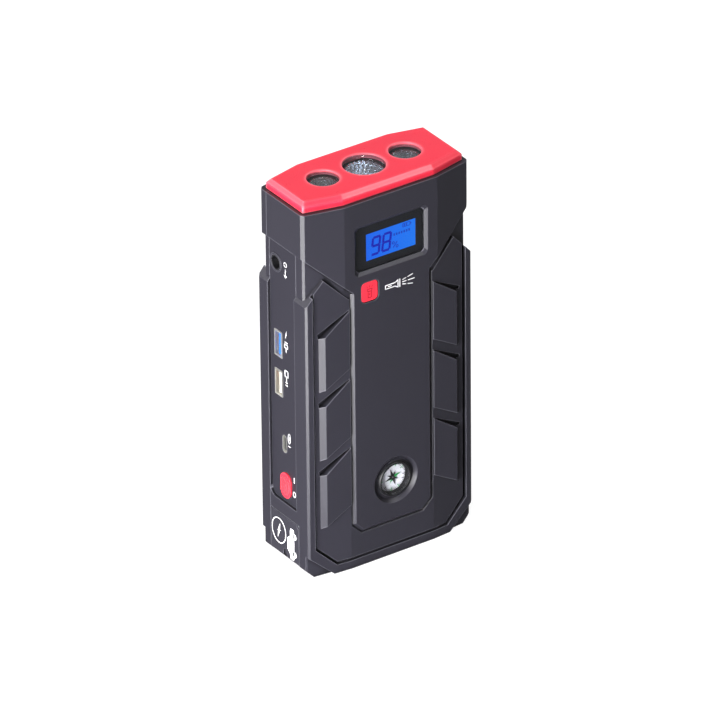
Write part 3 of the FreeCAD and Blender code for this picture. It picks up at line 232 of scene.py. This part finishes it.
inks = {
    # screen-printed ink: opaque, slightly raised, matt
    "paleInk": mouldedPlastic("screenPrintedWhiteInk", "#e2e2e6", "#9a9a9e", "#ffffff",
                              0.5, 0.3, 0.1, 0.2, 0.1, 0.1),
    "darkInk": mouldedPlastic("screenPrintedBlackInk", "#1a1c1e", "#08090a", "#303234",
                              0.5, 0.3, 0.1, 0.2, 0.1, 0.1),
    "greenInk": mouldedPlastic("screenPrintedGreenInk", "#1f9a48", "#0c4a20", "#48c070",
                               0.5, 0.3, 0.1, 0.2, 0.1, 0.1),
    "redInk": mouldedPlastic("screenPrintedRedInk", "#8c1022", "#4a0812", "#b02038",
                             0.5, 0.3, 0.1, 0.2, 0.1, 0.1),
    # dark segments of the liquid crystal: they pass a little of the blue glow
    "segmentInk": litPanel("darkenedLiquidCrystal", "#0414b8", "#0418c0", 0.9, -0.015, 0.018),
    "faintSegmentInk": litPanel("halfDarkenedLiquidCrystal", "#0530b8", "#0636c2", 0.95, -0.015, 0.018),
    # black printed mask round the lit area
    "maskInk": mouldedPlastic("backPaintedAcrylic", "#0d0e12", "#030304", "#2a2b30", 0.3, 0.5, 0.05),
}
print("materials made:", len(materials) + len(inks))


def dressNode(name):
    node = frame["nodes"][name]
    node.data.materials.clear()
    node.data.materials.append(materials[slotOf[name]])


for name in frame["nodes"]:
    dressNode(name)


# helpers for pieces

def addPiece(name, mesh, material, node, replaces=(), smoothAngle=None):
    # a visual piece that moves with the body of the given node
    piece = bpy.data.objects.new(name, mesh)
    scene.collection.objects.link(piece)
    mesh.materials.clear()
    mesh.materials.append(material)
    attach(piece, bodyOf[node])
    if replaces:
        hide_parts(*replaces)
    if smoothAngle:
        for polygon in mesh.polygons:
            polygon.use_smooth = True
        mesh.set_sharp_from_angle(angle=math.radians(smoothAngle))
    return piece


def bevelledCopy(nodeName, pieceName, width, segments=2, smoothAngle=None, limit=30):
    # the node's own shape, joined up, with its edges rounded by width mm
    mesh = frame["nodes"][nodeName].data.copy()
    form = bmesh.new()
    form.from_mesh(mesh)
    bmesh.ops.remove_doubles(form, verts=form.verts, dist=0.002 * mm)
    if width:
        bmesh.ops.dissolve_limit(form, angle_limit=math.radians(1.0), verts=form.verts, edges=form.edges)
    form.to_mesh(mesh)
    form.free()
    piece = addPiece(pieceName, mesh, materials[slotOf[nodeName]], nodeName, (nodeName,), smoothAngle)
    if width:
        rounding = piece.modifiers.new("roundedEdges", "BEVEL")
        rounding.width = width * mm
        rounding.segments = segments
        rounding.limit_method = "ANGLE"
        rounding.angle_limit = math.radians(limit)
        rounding.harden_normals = True
    return piece


def flatMarks(name, shapes, place, across, up, thick):
    # thin printed or moulded shapes, each a list of (across, up) in mm, standing on a plane
    form = bmesh.new()
    across = Vector(across).normalized()
    up = Vector(up).normalized()
    out = across.cross(up)
    place = Vector(place)
    for shape in shapes:
        low = [form.verts.new(place + across * a * mm + up * b * mm) for a, b in shape]
        high = [form.verts.new(place + across * a * mm + up * b * mm + out * thick * mm) for a, b in shape]
        form.faces.new(low[::-1])
        form.faces.new(high)
        for k in range(len(shape)):
            n = (k + 1) % len(shape)
            form.faces.new((low[k], low[n], high[n], high[k]))
    bmesh.ops.recalc_face_normals(form, faces=form.faces)
    mesh = bpy.data.meshes.new(name)
    form.to_mesh(mesh)
    form.free()
    return mesh


# across and up, as seen from the front and from the side with the ports
frontFacing = ((1, 0, 0), (0, 0, 1))
sideFacing = ((0, -1, 0), (0, 0, 1))


def addMarks(name, shapes, place, facing, thick, material, node, replaces=()):
    # flat shapes as one piece, on the plane through a place in mm
    mesh = flatMarks(name, shapes, [v * mm for v in place], *facing, thick)
    addPiece(name, mesh, material, node, replaces)


def bar(x0, y0, x1, y1, wide):
    # a straight stroke between two points
    run = Vector((x1 - x0, y1 - y0)).normalized() * wide / 2
    side = Vector((-run.y, run.x))
    return [(x0 + side.x, y0 + side.y), (x1 + side.x, y1 + side.y),
            (x1 - side.x, y1 - side.y), (x0 - side.x, y0 - side.y)]


def ringOf(x, y, rx, ry, wide, steps=36):
    # a closed ring of short strokes
    shapes = []
    for k in range(steps):
        a0 = 2 * math.pi * k / steps
        a1 = 2 * math.pi * (k + 1) / steps
        shapes.append([(x + (rx - wide) * math.cos(a0), y + (ry - wide) * math.sin(a0)),
                       (x + rx * math.cos(a0), y + ry * math.sin(a0)),
                       (x + rx * math.cos(a1), y + ry * math.sin(a1)),
                       (x + (rx - wide) * math.cos(a1), y + (ry - wide) * math.sin(a1))])
    return shapes


# case, cap, cover and buttons

edges = {"case": 0, "cap": 0.45, "plate": 0, "cover": 0, "button": 0.45, "ring": 0.2}

for nodeName, pieceName, width in (
        ("front_shell", "front_case_half", edges["case"]), ("rear_shell", "rear_case_half", edges["case"]),
        ("torch_cap", "torch_cap_moulding", edges["cap"]), ("port_plate", "port_column", edges["plate"]),
        ("socket_cover", "socket_flap", edges["cover"]), ("torch_button", "torch_key", edges["button"]),
        ("compass_ring", "compass_bezel", edges["ring"])):
    bevelledCopy(nodeName, pieceName, width, smoothAngle=11 if width else None)
print("mouldings made")

# torch reflectors: stepped rows of flat facets under clear lenses

reflectors = {
    "left": {"at": -22.1, "radius": 7.3, "facets": 20},
    "centre": {"at": 0.0, "radius": 9.7, "facets": 26},
    "right": {"at": 22.1, "radius": 7.3, "facets": 20},
    "rows": 6,
    "foot": 177.85,
    "lift": 0.3,         # of the throat above the foot
    "tall": 11.7,
    "filled": 0.93,      # share of the height that the rows take up
    "throat": 2.6,
    "lip": 0.7,          # of the mouth inside the radius
    "flare": 0.55,       # under 1, the bowl opens fast at its throat
    "step": (0.22, 0.05),   # between two rows: outwards and upwards
    "wall": 0.8,
    "scallop": 0.14,
}


def facetedBowl(side):
    bowl = reflectors[side]
    mouth = bowl["radius"] - reflectors["lip"]
    rows = reflectors["rows"]
    stepOut, stepUp = reflectors["step"]
    profile = []
    for k in range(rows + 1):
        part = k / rows
        radius = reflectors["throat"] + (mouth - reflectors["throat"]) * part ** reflectors["flare"]
        height = reflectors["lift"] + reflectors["tall"] * reflectors["filled"] * part
        profile.append((radius, height))
        if 0 < k < rows:
            profile.append((radius + stepOut, height + stepUp))
    outer = [(r + reflectors["wall"], z) for r, z in reversed(profile[::2])]
    count = bowl["facets"]
    form = bmesh.new()
    rings = []
    for row, (radius, height) in enumerate(profile + outer):
        ring = []
        for k in range(count * 2):
            angle = math.pi * (k + (row % 4 > 1) * 0.5) / count
            dent = 1 - reflectors["scallop"] * (k % 2) if row < len(profile) else 1
            ring.append(form.verts.new(((bowl["at"] + radius * dent * math.cos(angle)) * mm,
                                        radius * dent * math.sin(angle) * mm,
                                        (reflectors["foot"] + height) * mm)))
        rings.append(ring)
    for near, far in zip(rings, rings[1:] + rings[:1]):
        for k in range(count * 2):
            n = (k + 1) % (count * 2)
            form.faces.new((near[k], near[n], far[n], far[k]))
    bmesh.ops.recalc_face_normals(form, faces=form.faces)
    mesh = bpy.data.meshes.new(side + "_bowl")
    form.to_mesh(mesh)
    form.free()
    return addPiece(side + "_faceted_reflector", mesh, materials["reflector"], side + "_reflector",
                    (side + "_reflector",))


for side in ("left", "centre", "right"):
    facetedBowl(side)
    bevelledCopy(side + "_lens", side + "_clear_lens", 0)
print("reflectors made")

# display: printed mask, lit panel and dark segments

display = {
    "maskFront": -18.79,
    "maskThick": 0.06,
    "maskLow": (-18.2, 151.2),
    "maskHigh": (18.2, 173.2),
    "digitFace": -18.63,
    "digitThick": 0.03,
    "digitSunk": 0.02,
    "middle": (1.2, 161.6),
    "lit": (13.35, 6.75),
    "digitHigh": 8.4,
    "digitWide": 3.9,
    "stroke": 1.2,
    "lean": 0.12,
}

x0, z0 = display["middle"]
wide, high = display["lit"]
left, low = display["maskLow"][0] - x0, display["maskLow"][1] - z0
right, top = display["maskHigh"][0] - x0, display["maskHigh"][1] - z0
maskStrips = [   # below, above, left and right of the lit area
    [(left, low), (right, low), (right, -high), (left, -high)],
    [(left, high), (right, high), (right, top), (left, top)],
    [(left, -high), (-wide, -high), (-wide, high), (left, high)],
    [(wide, -high), (right, -high), (right, high), (wide, high)],
]
addMarks("display_mask", maskStrips, (x0, display["maskFront"] + display["maskThick"], z0), frontFacing,
         display["maskThick"], inks["maskInk"], "display_window")


def leaned(points, foot):
    return [(x + (y - foot) * display["lean"], y) for x, y in points]


def digitStrokes(x, y, lit):
    # the named strokes of a seven-stroke digit whose lower left corner is at x, y
    w, h, s = display["digitWide"], display["digitHigh"], display["stroke"]
    gap = 0.12
    strokes = {
        "top": bar(x + gap, y + h, x + w - gap, y + h, s),
        "middle": bar(x + gap, y + h / 2, x + w - gap, y + h / 2, s),
        "bottom": bar(x + gap, y, x + w - gap, y, s),
        "upperLeft": bar(x, y + h / 2 + gap, x, y + h - gap, s),
        "upperRight": bar(x + w, y + h / 2 + gap, x + w, y + h - gap, s),
        "lowerLeft": bar(x, y + gap, x, y + h / 2 - gap, s),
        "lowerRight": bar(x + w, y + gap, x + w, y + h / 2 - gap, s),
    }
    return [leaned(strokes[name], y) for name in lit]


digits = digitStrokes(-10.4, -4.6, ("top", "upperLeft", "upperRight", "middle", "lowerRight", "bottom"))
digits += digitStrokes(-4.6, -4.6, ("top", "upperLeft", "upperRight", "middle", "lowerLeft", "lowerRight",
                                    "bottom"))
digits += [bar(1.4, -4.6, 3.6, -1.9, 0.4)]   # the per cent sign: its slash and two rings
digits += ringOf(1.5, -2.2, 0.75, 0.75, 0.35, 14) + ringOf(3.5, -4.3, 0.75, 0.75, 0.35, 14)
digitPlace = (x0, display["digitFace"] + display["digitSunk"], z0)
addMarks("display_digits", digits, digitPlace, frontFacing, display["digitThick"], inks["segmentInk"],
         "lcd_glass")

smallMarks = [bar(0.4, 1.4, 0.4, 2.4, 0.5), bar(0.0, 1.9, 0.8, 1.9, 0.4)]
for k in range(7):   # a row of level bars
    smallMarks.append(bar(2.0 + k * 1.35, 1.3, 2.0 + k * 1.35, 2.5, 0.75))
# a small battery
smallMarks += [bar(6.6, 4.2, 10.6, 4.2, 0.3), bar(6.6, 5.9, 10.6, 5.9, 0.3), bar(6.6, 4.2, 6.6, 5.9, 0.3),
               bar(10.6, 4.2, 10.6, 5.9, 0.3), bar(11.0, 4.7, 11.0, 5.4, 0.5), bar(7.5, 4.5, 7.5, 5.6, 0.6),
               bar(8.6, 4.5, 8.6, 5.6, 0.6)]
addMarks("display_marks", smallMarks, digitPlace, frontFacing, display["digitThick"], inks["faintSegmentInk"],
         "lcd_glass")
print("display made")

# printed signs

signs = {
    "frontFace": -21.0,
    "sideFace": -44.0,
    "coverFace": -45.0,
    "inkThick": 0.04,
}


def frontSign(name, shapes, x, z, ink="paleInk", node="front_shell", face=None):
    place = (x, signs["frontFace"] if face is None else face, z)
    addMarks(name, shapes, place, frontFacing, signs["inkThick"], inks[ink], node)


def sideSign(name, shapes, y, z, node="port_plate", face=None):
    place = (signs["sideFace"] if face is None else face, y, z)
    addMarks(name, shapes, place, sideFacing, signs["inkThick"], inks["paleInk"], node)


# a lying torch with its beam, beside the torch button
torchSign = [
    bar(-8.2, -0.9, -3.0, -0.9, 0.42), bar(-8.2, 0.9, -3.0, 0.9, 0.42), bar(-8.2, -1.1, -8.2, 1.1, 0.42),
    bar(-3.0, -0.9, -1.4, -1.9, 0.42), bar(-3.0, 0.9, -1.4, 1.9, 0.42), bar(-1.4, -2.1, -1.4, 2.1, 0.42),
    bar(-0.4, -2.1, -0.4, 2.1, 0.42), bar(-6.8, 0.0, -4.9, 0.0, 0.5),
    bar(1.0, 0.0, 3.2, 0.0, 0.42), bar(4.0, 0.0, 7.6, 0.0, 0.42), bar(1.0, 1.1, 3.0, 1.6, 0.42),
    bar(1.0, -1.1, 3.0, -1.6, 0.42), bar(3.8, 1.75, 6.6, 2.4, 0.42), bar(3.8, -1.75, 6.6, -2.4, 0.42),
]
frontSign("torch_sign", torchSign, 4.8, 139.6)

# a standing torch on the button itself
keySign = [
    bar(-1.5, 1.2, 1.5, 1.2, 0.5), bar(-1.5, 1.2, -0.9, 0.0, 0.5), bar(1.5, 1.2, 0.9, 0.0, 0.5),
    bar(-0.9, 0.0, -0.9, -3.2, 0.5), bar(0.9, 0.0, 0.9, -3.2, 0.5), bar(-0.9, -3.2, 0.9, -3.2, 0.5),
    bar(-0.9, 0.0, 0.9, 0.0, 0.5), bar(0.0, -1.0, 0.0, -1.9, 0.55),
    bar(0.0, 1.9, 0.0, 3.1, 0.45), bar(-1.1, 1.9, -1.6, 2.9, 0.45), bar(1.1, 1.9, 1.6, 2.9, 0.45),
]
frontSign("torch_key_sign", keySign, -11.8, 140.4, "redInk", "torch_button", -20.79)


def boltShape(x, y, size):
    # a lightning bolt of an upper tip, a slanting middle and a lower tip, as shares of its size
    upper = [(-0.2, 0.1), (0.25, 1.0), (0.15, 0.1)]
    middle = [(-0.4, -0.05), (0.2, 0.12), (0.45, 0.12), (-0.2, -0.05)]
    lower = [(-0.15, -0.03), (0.2, 0.05), (-0.25, -1.0)]
    return [[(x + a * size, y + b * size) for a, b in shape] for shape in (upper, middle, lower)]


# beside the power jack: ring contact, centre contact and the arrow out
jackSign = ringOf(0, 2.0, 1.25, 1.25, 0.35, 20)
jackSign += [bar(-0.05, 2.0, 0.05, 2.0, 0.7), bar(0, -4.6, 0, -0.3, 0.4),
             bar(0, -4.7, -1.1, -3.4, 0.4), bar(0, -4.7, 1.1, -3.4, 0.4)]
sideSign("jack_sign", jackSign, -1.6, 153.5)
fastSign = boltShape(0, 3.6, 2.2) + [bar(-1.2, -0.4, 1.2, -0.4, 0.45), bar(-1.2, -1.5, 1.2, -1.5, 0.45),
                                     bar(-1.2, -1.5, -1.2, -3.2, 0.45), bar(1.2, -1.5, 1.2, -3.2, 0.45),
                                     bar(-1.4, -3.2, 1.4, -3.2, 0.45), bar(0, -3.2, 0, -5.6, 0.45)]
sideSign("fast_port_sign", fastSign, -1.4, 116.0)
plainSign = [bar(-1.2, 3.5, 1.2, 3.5, 0.45), bar(-1.2, 3.5, -1.2, 0.4, 0.45), bar(1.2, 3.5, 1.2, 0.4, 0.45),
             bar(-1.4, 0.4, 1.4, 0.4, 0.45), bar(0, 0.4, 0, -2.6, 0.45), bar(-0.9, -2.6, 0.9, -2.6, 0.45),
             bar(-0.9, -4.0, 0.9, -4.0, 0.45)]
sideSign("plain_port_sign", plainSign, -1.4, 97.5)
smallPortSign = ringOf(0, 0, 1.1, 2.6, 0.35, 24)
smallPortSign += [bar(0, -1.0, 0, 1.0, 0.35), bar(-0.9, -4.0, 0.9, -4.0, 0.4)]
sideSign("small_port_sign", smallPortSign, -2.9, 66.5)
powerSign = [bar(0, 2.6, 0, 5.4, 0.5)] + ringOf(0, -3.4, 1.15, 1.5, 0.4, 24)
sideSign("power_sign", powerSign, -6.5, 42.5)

# on the flap: a bolt in a ring, and a small car standing on end
flapRing = ringOf(0, 0, 5.7, 6.6, 0.5, 48) + boltShape(0, 0, 4.2)
sideSign("flap_ring_sign", flapRing, 5.0, 15.4, "socket_cover", signs["coverFace"])
carSign = [
    [(-1.2, -8.0), (1.7, -8.0), (2.0, -7.0), (2.0, 7.0), (1.7, 8.0), (-0.6, 8.0), (-1.2, 6.4)],
    [(-1.2, -5.8), (-1.2, 3.9), (-3.4, 1.9), (-3.4, -3.7)],
] + [[(2.3 + 1.6 * math.cos(math.pi * k / 6), side + 1.6 * math.sin(math.pi * k / 6)) for k in range(12)]
     for side in (-4.7, 4.7)]
sideSign("flap_car_sign", carSign, -5.1, 12.9, "socket_cover", signs["coverFace"])
print("signs made")

# ports: bright rims and contacts

ports = {
    "across": 5.1,
    "fastLevel": 112.2,
    "plainLevel": 92.1,
    "mouth": -43.7,
    "rimWide": 0.62,
    "rimThick": 0.3,
    "halfAcross": 2.9,
    "halfHigh": 6.55,
    "tongueThick": 2.5,
    "tongueHalf": 5.5,
    "back": -31.2,
    "tongueSide": -0.4,      # where the tongue starts, so that the gap is on its other side
    "contacts": 4,
    "contactPitch": 2.4,
    "contactWide": 1.2,
}


def portRim(name, node, y, z):
    # the folded steel frame, just proud of the moulding
    halfY, halfZ, wide = ports["halfAcross"], ports["halfHigh"], ports["rimWide"]
    strips = [bar(-halfY, halfZ - wide / 2, halfY, halfZ - wide / 2, wide),
              bar(-halfY, wide / 2 - halfZ, halfY, wide / 2 - halfZ, wide),
              bar(wide / 2 - halfY, wide - halfZ, wide / 2 - halfY, halfZ - wide, wide),
              bar(halfY - wide / 2, wide - halfZ, halfY - wide / 2, halfZ - wide, wide)]
    addMarks(name, strips, (ports["mouth"] - 0.02, y, z), sideFacing, ports["rimThick"], materials["nickel"],
             node)


def portTongue(name, node, y, z, material):
    # the tongue stands on one side of the mouth, with flat contacts towards the gap, on a dark base
    half, side = ports["tongueHalf"], ports["tongueSide"]
    farSide = side + ports["tongueThick"]
    deep = ports["back"] - ports["mouth"] - 0.6
    place = (ports["back"], y, z)
    tongue = [[(side, -half), (farSide, -half), (farSide, half), (side, half)]]
    addMarks(name + "_tongue", tongue, place, sideFacing, deep, material, node, (node,))
    base = [[(-2.4, -6.0), (2.4, -6.0), (2.4, 6.0), (-2.4, 6.0)]]
    addMarks(name + "_base", base, place, sideFacing, 0.4, inks["darkInk"], node)
    reach = ports["contactWide"] / 2
    levels = [(k - 1.5) * ports["contactPitch"] for k in range(ports["contacts"])]
    contacts = [bar(-0.62, level - reach, -0.62, level + reach, 0.3) for level in levels]
    addMarks(name + "_contacts", contacts, place, sideFacing, deep - 1.0, materials["copper"], node)


portRim("fast_port_rim", "fast_usb_shell", ports["across"], ports["fastLevel"])
portRim("plain_port_rim", "plain_usb_shell", ports["across"], ports["plainLevel"])
portTongue("fast_port", "fast_usb_tongue", ports["across"], ports["fastLevel"], materials["blue_moulding"])
portTongue("plain_port", "plain_usb_tongue", ports["across"], ports["plainLevel"], materials["white_moulding"])
print("ports made")

# power button: ribs for the thumb

powerKey = {
    "face": -44.58,
    "level": 41.0,
    "halfHigh": 4.6,
    "ribPitch": 1.5,
    "ribWide": 0.75,
    "ribProud": 0.35,
    "taper": 0.09,   # how much shorter the outer ribs are
}
ribs = []
for k in range(-2, 3):
    reach = powerKey["halfHigh"] * (1 - powerKey["taper"] * k * k)
    ribs.append(bar(k * powerKey["ribPitch"], -reach, k * powerKey["ribPitch"], reach, powerKey["ribWide"]))
addMarks("power_key_ribs", ribs, (powerKey["face"], 0, powerKey["level"]), sideFacing, powerKey["ribProud"],
         materials["button"], "power_button")

# compass card: ticks and points

compass = {
    "at": (1.5, 38.6),
    "face": -18.36,
    "ticks": 48,
    "rim": 7.0,
    "longTick": (1.7, 0.36),    # length and width
    "shortTick": (0.9, 0.22),
    "longPoint": (4.7, 1.0),    # reach of the tip and of the foot
    "shortPoint": (3.4, 0.8),
    "turn": 0.3,
    "inkThick": 0.05,
}


def compassMarks():
    dark, green = [], []
    rim = compass["rim"]
    for k in range(compass["ticks"]):
        angle = 2 * math.pi * k / compass["ticks"]
        length, wide = compass["longTick" if k % 5 == 0 else "shortTick"]
        inner = rim - length
        stroke = bar(inner * math.cos(angle), inner * math.sin(angle),
                     rim * math.cos(angle), rim * math.sin(angle), wide)
        (green if k % 15 == 5 or k % 15 == 10 else dark).append(stroke)
    for k in range(8):
        angle = math.pi * k / 4 + compass["turn"]
        tip, foot = compass["longPoint" if k % 2 == 0 else "shortPoint"]
        shape = [(tip * math.cos(angle), tip * math.sin(angle)),
                 (foot * math.cos(angle + 1.2), foot * math.sin(angle + 1.2)),
                 (0.0, 0.0), (foot * math.cos(angle - 1.2), foot * math.sin(angle - 1.2))]
        (green if k in (0, 5) else dark).append(shape)
    return dark, green


darkMarks, greenMarks = compassMarks()
compassPlace = (compass["at"][0], compass["face"], compass["at"][1])
for name, shapes, ink in (("compass_dark_marks", darkMarks, "darkInk"),
                          ("compass_green_marks", greenMarks, "greenInk")):
    addMarks(name, shapes, compassPlace, frontFacing, compass["inkThick"], inks[ink], "compass_card")
print("compass made")

# camera and light

view = {
    "place": (-2.1162, -3.1012, 2.2485),
    "turn": (60.12, 0.49, -34.55),
    "lens": 481.05,
    "sensor": 36.0,
}

cameraData = bpy.data.cameras.new("camera")
cameraData.lens = view["lens"]
cameraData.sensor_width = view["sensor"]
cameraData.clip_end = 20
camera = bpy.data.objects.new("camera", cameraData)
camera.location = view["place"]
camera.rotation_euler = Euler([math.radians(a) for a in view["turn"]], "XYZ")
scene.collection.objects.link(camera)
scene.camera = camera

studio = {
    "key": {"place": (-1.45, -0.62, 0.5), "size": 0.8, "watts": 64, "colour": "#fffdfa"},
    "fill": {"place": (-0.5, -1.6, 0.5), "size": 1.0, "watts": 0.8, "colour": "#f6f8ff"},
    "kicker": {"place": (-0.29, -0.17, 0.02), "size": 0.2, "watts": 2.9, "colour": "#ffffff"},
    "frontSheen": {"place": (0.76, -0.82, 1.15), "size": 0.6, "watts": 9, "colour": "#ffffff"},
    "backSheen": {"place": (-0.72, 1.0, 0.8), "size": 0.6, "watts": 5, "colour": "#ffffff"},
    "back": {"place": (0.7, 1.5, 0.7), "size": 0.9, "watts": 16, "colour": "#f8faff"},
    "lensSheen": {"place": (0.72, 1.5, 0.95), "size": 0.8, "watts": 0.3, "colour": "#ffffff"},
    "top": {"place": (-0.1, 0.0, 1.5), "size": 1.0, "watts": 12.5, "colour": "#ffffff"},
    "sky": 0.25,
    "paperGlow": 0.85,
}


def addLamp(name):
    lamp = studio[name]
    data = bpy.data.lights.new(name, "AREA")
    data.size = lamp["size"]
    data.energy = lamp["watts"]
    data.color = linear(lamp["colour"])[:3]
    light = bpy.data.objects.new(name, data)
    light.location = lamp["place"]
    light.rotation_euler = (Vector((0, 0, 0.1)) - light.location).to_track_quat("-Z", "Y").to_euler()
    light.visible_camera = False
    scene.collection.objects.link(light)


for name in ("key", "fill", "kicker", "frontSheen", "backSheen", "back", "lensSheen", "top"):
    addLamp(name)
for name in ("frontSheen", "backSheen", "lensSheen"):   # these only draw the shine on sloped edges and lenses
    bpy.data.objects[name].visible_diffuse = False
bpy.data.objects["back"].visible_glossy = False

world = bpy.data.worlds.new("studio")
world.use_nodes = True
world.node_tree.nodes["Background"].inputs["Color"].default_value = linear("#ffffff")
world.node_tree.nodes["Background"].inputs["Strength"].default_value = studio["sky"]
scene.world = world
scene.view_settings.view_transform = "Standard"

# matt white paper with an even glow of its own, which is what keeps the backdrop pale
paper, paperShader = newMaterial("mattWhitePaper", Base_Color=linear("#808080"), Roughness=0.95,
                                 Emission_Color=linear("#ffffff"), Emission_Strength=studio["paperGlow"])
bpy.ops.mesh.primitive_plane_add(size=6, location=(0, 0, 0))
floor = bpy.context.object
floor.name = "floor"
floor.data.materials.append(paper)
floor.visible_diffuse = False   # the paper itself throws no light back, so the sky sets the shadow side
floor.visible_glossy = False
print("studio set")
